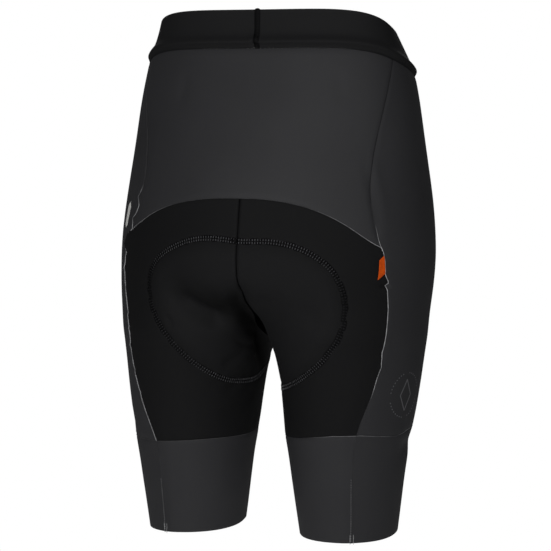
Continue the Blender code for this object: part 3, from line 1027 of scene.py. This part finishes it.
# %% [markdown]
# The cover stitch is a ladder: three rows of needle stitches with looper threads that cross between
# them, over a dark bed that is painted shadow between the threads. The needle rows are painted in
# shade, and a crossing thread is painted paler the more upright it stands, a painted highlight.
# One small stitch is modelled from a sphere, and numpy lays copies of it along a line, each turned
# to the cloth under it.

# %% Laying stitches
bpy.ops.object.select_all(action="DESELECT")
bpy.ops.mesh.primitive_uv_sphere_add(segments=6, ring_count=4, radius=0.5)
stitch_model = bpy.context.object
stitch_points = vertex_array(stitch_model)
stitch_faces = [list(polygon.vertices) for polygon in stitch_model.data.polygons]
bpy.data.objects.remove(stitch_model)


def evenly_spaced(line, spacing):
    line = np.array(line)
    steps = np.linalg.norm(np.diff(line, axis=0), axis=1)
    run = np.concatenate([[0], np.cumsum(steps)])
    at = np.linspace(0, run[-1], max(int(round(run[-1] / spacing)), 1) + 1)
    return np.stack([np.interp(at, run, line[:, k]) for k in range(3)], axis=1)


def stitch_frames(tree, line, spacing):
    """Evenly spaced places on the cloth with the cloth's normal and the line's direction there."""
    places = evenly_spaced(line, spacing)
    found = [tree.find_nearest(Vector(place)) for place in places]
    seats = np.array([hit[0] for hit in found])
    normals = np.array([hit[1] for hit in found])
    along = np.gradient(seats, axis=0)
    along -= normals * (along * normals).sum(1)[:, None]
    along /= np.linalg.norm(along, axis=1)[:, None] + 1e-12
    return seats, normals, along


def lay_stitches(name, layers, material):
    """Joins copies of the stitch. A layer is (seats, long way, normals, length, width, height, shine)."""
    points = []
    shines = []
    for seats, long_way, normals, length, width, height, shine in layers:
        sideways = np.cross(normals, long_way)
        shine = np.broadcast_to(shine, len(seats))
        for seat, ahead, beside, up, glow in zip(seats, long_way, sideways, normals, shine):
            turned = (
                np.outer(stitch_points[:, 2] * length * MM, ahead)
                + np.outer(stitch_points[:, 0] * width * MM, beside)
                + np.outer(stitch_points[:, 1] * height * MM, up)
            )
            points.append(turned + seat)
            shines.append(np.full(len(stitch_points), glow))
    count = len(stitch_points)
    faces = [[i + count * k for i in face] for k in range(len(points)) for face in stitch_faces]
    mesh = bpy.data.meshes.new(name)
    mesh.from_pydata(np.concatenate(points).tolist(), [], faces)
    for polygon in mesh.polygons:
        polygon.use_smooth = True
    stitches = bmesh.new()
    stitches.from_mesh(mesh)
    bmesh.ops.recalc_face_normals(stitches, faces=stitches.faces)
    stitches.to_mesh(mesh)
    stitches.free()
    piece = link_piece(name, mesh, material)
    set_shine(piece, np.concatenate(shines))
    print(f"{name}: {len(points)} stitches")


PAD_LINE_ROUNDS = 6
PAD_STITCH_PITCH = 2.8
PAD_STITCH_WIDTH = 6.0
# Shine of a level and of an upright rung: the paler upright rungs are a painted highlight
PAD_STITCH_SHINE = (0.08, 0.7)
PAD_STITCH_STEPS = 8
LINE_SPACING = 3.0
# Lift and height are in mm. Length and width are shares of the ladder's width, column or pitch,
# but a needle row's width is in mm.
Thread = namedtuple("Thread", "lift length width height")
# The bed is a dark sheet under the rungs: painted shadow between the threads
SHADOW_BED = Thread(0.2, 1.2, 2.8, 0.4)
RUNG = Thread(0.4, 0.8, 0.36, 0.7)
NEEDLE = Thread(0.3, 0.9, 0.8, 0.6)


def ladder(tree, line, pitch, width, shine, columns=2, slant=0.0):
    """The layers of a cover stitch: a dark bed of painted shadow, columns of rungs, and needle rows beside
    them in painted shade.

    A rung is painted paler the more it stands upright, a painted highlight: its shine goes over its range
    of numbers, from one that lies level to one that stands upright.
    """
    seats, normals, along = stitch_frames(tree, line, pitch * MM)
    across = np.cross(normals, along)
    rungs = across + along * slant * np.where(np.arange(len(seats)) % 2, 1, -1)[:, None]
    rungs /= np.linalg.norm(rungs, axis=1)[:, None]
    rung_shine = np.interp(rungs[:, 2] ** 2, [0.0, 1.0], shine)
    place = seats + normals * SHADOW_BED.lift * MM
    layers = [(place, across, normals, width * SHADOW_BED.length, pitch * SHADOW_BED.width, SHADOW_BED.height, 0.0)]
    step = width / columns
    rung_size = (step * RUNG.length, pitch * RUNG.width, RUNG.height)
    for column in range(columns):
        place = seats + across * (step * (column + 0.5) - width / 2) * MM + normals * RUNG.lift * MM
        layers.append((place, rungs, normals, *rung_size, rung_shine))
    # Needle rows take the thread's darkest colour: painted shade beside the ladder
    for row in range(columns + 1):
        place = seats + across * (step * row - width / 2) * MM + normals * NEEDLE.lift * MM
        layers.append((place, along, normals, pitch * NEEDLE.length, NEEDLE.width, NEEDLE.height, 0.0))
    return layers


final_tree = cloth_tree()
halves = [np.array(pad_line(final_tree, side, PAD_STITCH_STEPS)) for side in SIDES]
pad_loop = evenly_spaced(np.concatenate([halves[0], halves[1][::-1]]), LINE_SPACING * MM)[:-1]
for _ in range(PAD_LINE_ROUNDS):
    pad_loop = (np.roll(pad_loop, 1, axis=0) + pad_loop * 2 + np.roll(pad_loop, -1, axis=0)) / 4
closed_loop = np.concatenate([pad_loop, pad_loop[:1]])
pad_layers = ladder(final_tree, closed_loop, PAD_STITCH_PITCH, PAD_STITCH_WIDTH, PAD_STITCH_SHINE)
lay_stitches("pad_cover_stitch", pad_layers, cover_thread)

# %% [markdown]
# The waistband is closed at the centre back by a flat bar of zigzag stitches about 6 mm wide, a
# little to one side of the join. The leg bands are closed in line with the side seams: a thin roll
# in the slit, short stitches beside its lower part, and a small bar tack at the hem.

# %% Closing stitches
BAR_WIDTH = 5.4
BAR_PITCH = 1.6
BAR_SHINE = (0.25, 0.25)
BAR_STEPS = 18
BAR_X = -1.0
BAR_LEAN = -2.2
BAR_BELOW_RIM = 0.8
BAR_LENGTH = 38.6
SLIT_REACH = 0.9
SLIT_ROLL = 0.22
SLIT_SHINE = 0.08
DASH_PITCH = 2.6
TACK_LENGTH = 11.0
SEWN_LIFT = 0.1
# How far from the slit a stitch lies, and its length, width, height and shine
DASH_BESIDE = 0.9
DASH = (1.6, 0.55, 0.5, 0.7)
TACK_BESIDE = 1.7
TACK = (3.2, 0.6, 0.5, 0.9)

bar_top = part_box("waistband")[1].z / MM - BAR_BELOW_RIM
centre_line = []
for step in range(BAR_STEPS + 1):
    t = step / BAR_STEPS
    middle = Vector((BAR_X + BAR_LEAN * t, 0, bar_top - BAR_LENGTH * t)) * MM
    centre_line.append(final_tree.ray_cast(middle, Vector((0, 1, 0)))[0] or middle)
bar_layers = ladder(final_tree, centre_line, BAR_PITCH, BAR_WIDTH, BAR_SHINE, columns=1, slant=0.5)
lay_stitches("waistband_closing_stitch", bar_layers, elastic_thread)

closing_layers = []
tack_layers = []
slit_lines = []
for side in SIDES:
    piece = cloth["leg_band_" + side]
    points = vertex_array(piece)
    edge_points = [index for loop in boundary_loops(piece) for index in loop]
    rim_tree = point_tree([points[index] for index in edge_points])
    slit = [
        index for index in edge_points if len(rim_tree.find_range(points[index], SLIT_REACH * MM)) > 1
    ]
    slit.sort(key=lambda index: points[index][2])
    middle = evenly_spaced([points[index] for index in slit[::2]], LINE_SPACING * MM)
    middle[1:-1] = (middle[:-2] + middle[1:-1] * 2 + middle[2:]) / 4
    slit_lines.append([Vector(place) for place in middle])
    seats, normals, along = stitch_frames(final_tree, middle, DASH_PITCH * MM)
    across = np.cross(normals, along)
    lower_half = slice(0, len(seats) * 3 // 5)
    row = (seats + across * DASH_BESIDE * MM + normals * SEWN_LIFT * MM)[lower_half]
    closing_layers.append((row, along[lower_half], normals[lower_half], *DASH))
    tack_rows = slice(0, int(TACK_LENGTH / DASH_PITCH))
    for hand in (-1, 1):
        tack_row = (seats + across * hand * TACK_BESIDE * MM + normals * SEWN_LIFT * MM)[tack_rows]
        tack_layers.append((tack_row, along[tack_rows], normals[tack_rows], *TACK))
slit_edge = roll_along("leg_band_closing_edge", slit_lines, SLIT_ROLL, pale_edge)
set_shine(slit_edge, np.full(len(slit_edge.data.vertices), SLIT_SHINE))
lay_stitches("leg_band_closing_stitch", closing_layers, pale_edge)
lay_stitches("hem_bar_tacks", tack_layers, pale_edge)

# %% [markdown]
# The walls come last. Solidify grows each skin inwards, so the outer side stays where it was
# shaped. A real panel is one flat piece before it is sewn. A Cut type for a panel's width, length
# and area is defined, but no panel is given one.

# %% Walls
Cut = namedtuple("Cut", "width length area")
for name, piece in cloth.items():
    apply_modifier(piece, "SOLIDIFY", thickness=PANELS[name].wall * MM, offset=-1, use_even_offset=False)
    piece.data.polygons.foreach_set("use_smooth", [True] * len(piece.data.polygons))
    bpy.ops.object.select_all(action="DESELECT")
    piece.select_set(True)
    bpy.context.view_layer.objects.active = piece
    bpy.ops.object.shade_smooth_by_angle(angle=RIM_ANGLE)
    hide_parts(name)
    print(f"{name}: {sum(len(p.vertices) - 2 for p in piece.data.polygons)} triangles")

# %% [markdown]
# The tab is a folded ribbon whose two ends are caught in the right side seam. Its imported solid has
# the right form, so a copy is merged and its sharp rim is softened with a bevel. The weave is in
# its material.

# %% The ribbon tab
tab_mesh = bpy.data.meshes.new("side_tab_ribbon")
tab = bmesh.new()
tab.from_mesh(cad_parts["side_tab"].data)
bmesh.ops.remove_doubles(tab, verts=tab.verts, dist=WELD * MM)
bmesh.ops.join_triangles(
    tab, faces=tab.faces, angle_face_threshold=QUAD_ANGLE, angle_shape_threshold=QUAD_ANGLE
)
tab.to_mesh(tab_mesh)
tab.free()
tab_piece = link_piece("side_tab_ribbon", tab_mesh, ribbon)
apply_modifier(
    tab_piece, "BEVEL", width=0.3 * MM, segments=3, limit_method="ANGLE", angle_limit=RIM_ANGLE
)
tab_layer = tab_piece.data.uv_layers.new(name="cloth")
for loop in tab_piece.data.loops:
    point = tab_piece.data.vertices[loop.vertex_index].co
    tab_layer.data[loop.index].uv = (point.x - point.y, point.z)
tab_piece.data.polygons.foreach_set("use_smooth", [True] * len(tab_piece.data.polygons))
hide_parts("side_tab")

# %% [markdown]
# Two prints: a slim plain reflective bar on the left hip, and on the right thigh a small ring of
# dashes round a plain rhombus. A print is a skin of ink about 0.1 mm thick. Its outline is drawn
# flat, cut fine, and each point is then laid on the cloth.

# %% Prints
PRINT_LIFT = 0.12
INK_THICKNESS = 0.1
LONGEST_EDGE = 2.0
ABOVE_CLOTH = 20


def lay_print(name, outlines, side, angle, z, material):
    """Flat outlines in mm, across and up from a middle, laid on the cloth as thin ink."""
    middle = on_cloth(final_tree, side, angle, z)
    normal = final_tree.find_nearest(middle)[1]
    across = Vector((0, 0, 1)).cross(normal).normalized()
    up = normal.cross(across)
    ink = bmesh.new()
    for outline in outlines:
        verts = [ink.verts.new(middle + (across * u + up * v) * MM) for u, v in outline]
        ink.faces.new(verts)
    bmesh.ops.triangulate(ink, faces=ink.faces)
    for _ in range(3):
        long_edges = [edge for edge in ink.edges if edge.calc_length() > LONGEST_EDGE * MM]
        if long_edges:
            bmesh.ops.subdivide_edges(ink, edges=long_edges, cuts=1)
            bmesh.ops.triangulate(ink, faces=ink.faces)
    for vertex in ink.verts:
        hit = final_tree.ray_cast(vertex.co + normal * ABOVE_CLOTH * MM, -normal)
        place, facing = (hit[0], hit[1]) if hit[0] else final_tree.find_nearest(vertex.co)[:2]
        vertex.co = place + facing * PRINT_LIFT * MM
    ink.normal_update()
    if sum(face.normal.dot(normal) for face in ink.faces) < 0:
        bmesh.ops.reverse_faces(ink, faces=ink.faces)
    mesh = bpy.data.meshes.new(name)
    ink.to_mesh(mesh)
    ink.free()
    piece = link_piece(name, mesh, material)
    apply_modifier(piece, "SOLIDIFY", thickness=INK_THICKNESS * MM, offset=-1)
    return piece


def strip(start, end, width):
    """A straight bar from one place to another, with pointed ends."""
    (u0, v0), (u1, v1) = start, end
    length = math.hypot(u1 - u0, v1 - v0)
    du, dv = (u1 - u0) / length, (v1 - v0) / length
    half = width / 2
    return [
        (u0 - du * half, v0 - dv * half),
        (u0 + dv * half, v0 - du * half),
        (u1 + dv * half, v1 - du * half),
        (u1 + du * half, v1 + dv * half),
        (u1 - dv * half, v1 + du * half),
        (u0 - dv * half, v0 + du * half),
    ]


EMBLEM_RADIUS = 23.0
EMBLEM_DASHES = 40
EMBLEM_DASH = 0.6
EMBLEM_LINE = 1.2
EMBLEM_BREAK = 10
RHOMBUS_UP = 16
RHOMBUS_ACROSS = 9
dashes = []
for index in range(EMBLEM_DASHES):
    turn = 2 * math.pi * index / EMBLEM_DASHES
    if index % EMBLEM_BREAK < 2:
        continue
    u, v = EMBLEM_RADIUS * math.cos(turn), EMBLEM_RADIUS * math.sin(turn)
    du, dv = -math.sin(turn) * EMBLEM_DASH / 2, math.cos(turn) * EMBLEM_DASH / 2
    dashes.append(strip((u - du, v - dv), (u + du, v + dv), EMBLEM_LINE))
rhombus = [(0, RHOMBUS_UP), (RHOMBUS_ACROSS, 0), (0, -RHOMBUS_UP), (-RHOMBUS_ACROSS, 0)]
sides = [strip(a, b, EMBLEM_LINE) for a, b in zip(rhombus, rhombus[1:] + rhombus[:1])]
emblem = lay_print(
    "thigh_print", dashes + sides, "right", 21.5, -367.9, tonal_print
)
bar = lay_print(
    "hip_print", [strip((-1.8, -9.6), (1.8, 9.6), 8.5)], "left", 38.0, -189.0, reflective_print,
)
print("prints:", len(emblem.data.polygons), len(bar.data.polygons), "faces")

# %% [markdown]
# The shorts are photographed against white, from behind and a little to their right, with a long
# lens. The main soft light stands straight behind them and low. A weaker one is higher, on the
# wearer's right, a faint one fills in from the wearer's left, and one lights the front. The white
# of the background is seen by the camera, but hardly lights the cloth.

# %% Floor, light and camera
FLOOR_Z = -0.86
FLOOR_RADIUS = 1.3
CAMERA_AZIMUTH = 200.0
CAMERA_ELEVATION = 4.4
CAMERA_DISTANCE = 2.4
CAMERA_LENS = 149.3
CAMERA_SHIFT = -0.0073
CAMERA_SENSOR = 36
WORLD_LIGHT = 0.08
TARGET = Vector((0, 0, -0.2535))


def direction(azimuth, elevation):
    a, e = math.radians(azimuth), math.radians(elevation)
    return Vector((math.sin(a) * math.cos(e), -math.cos(a) * math.cos(e), math.sin(e)))


bpy.ops.mesh.primitive_circle_add(
    vertices=96, radius=FLOOR_RADIUS, fill_type="NGON", location=(0, 0, FLOOR_Z)
)
floor = bpy.context.object
floor.name = "floor"
floor_material, floor_tree, floor_shader = new_material("studio_floor_white")
floor_shader.inputs["Base Color"].default_value = linear("#f4f4f4")
floor_shader.inputs["Roughness"].default_value = 0.9
floor.data.materials.append(floor_material)

Lamp = namedtuple("Lamp", "name azimuth elevation distance size power")
LAMPS = [
    Lamp("key", 182, 12, 2.0, 1.1, 20),
    Lamp("side", 228, 22, 2.2, 1.2, 9),
    Lamp("fill", 155, 2, 2.4, 1.2, 3),
    Lamp("front", 20, 35, 2.4, 1.6, 18),
]
for lamp in LAMPS:
    data = bpy.data.lights.new(lamp.name, "AREA")
    data.size = lamp.size
    data.energy = lamp.power
    light = bpy.data.objects.new(lamp.name, data)
    back = direction(lamp.azimuth, lamp.elevation)
    light.location = TARGET + back * lamp.distance
    light.rotation_euler = (-back).to_track_quat("-Z", "Y").to_euler()
    bpy.context.scene.collection.objects.link(light)

world = bpy.context.scene.world or bpy.data.worlds.new("studio")
bpy.context.scene.world = world
world.use_nodes = True
sky = world.node_tree.nodes["Background"]
sky.inputs["Color"].default_value = (1, 1, 1, 1)
path = add_node(world.node_tree, "ShaderNodeLightPath")
strength = add_node(
    world.node_tree,
    "ShaderNodeMapRange",
    {0: path.outputs["Is Camera Ray"], 1: 0.0, 2: 1.0, 3: WORLD_LIGHT, 4: 1.0},
)
world.node_tree.links.new(strength.outputs[0], sky.inputs["Strength"])

camera_data = bpy.data.cameras.new("camera")
camera_data.lens = CAMERA_LENS
camera_data.sensor_width = CAMERA_SENSOR
camera_data.shift_x = CAMERA_SHIFT
camera = bpy.data.objects.new("camera", camera_data)
back = direction(CAMERA_AZIMUTH, CAMERA_ELEVATION)
camera.location = TARGET + back * CAMERA_DISTANCE
camera.rotation_euler = (-back).to_track_quat("-Z", "Y").to_euler()
bpy.context.scene.collection.objects.link(camera)
bpy.context.scene.camera = camera
bpy.context.scene.view_settings.view_transform = "Standard"
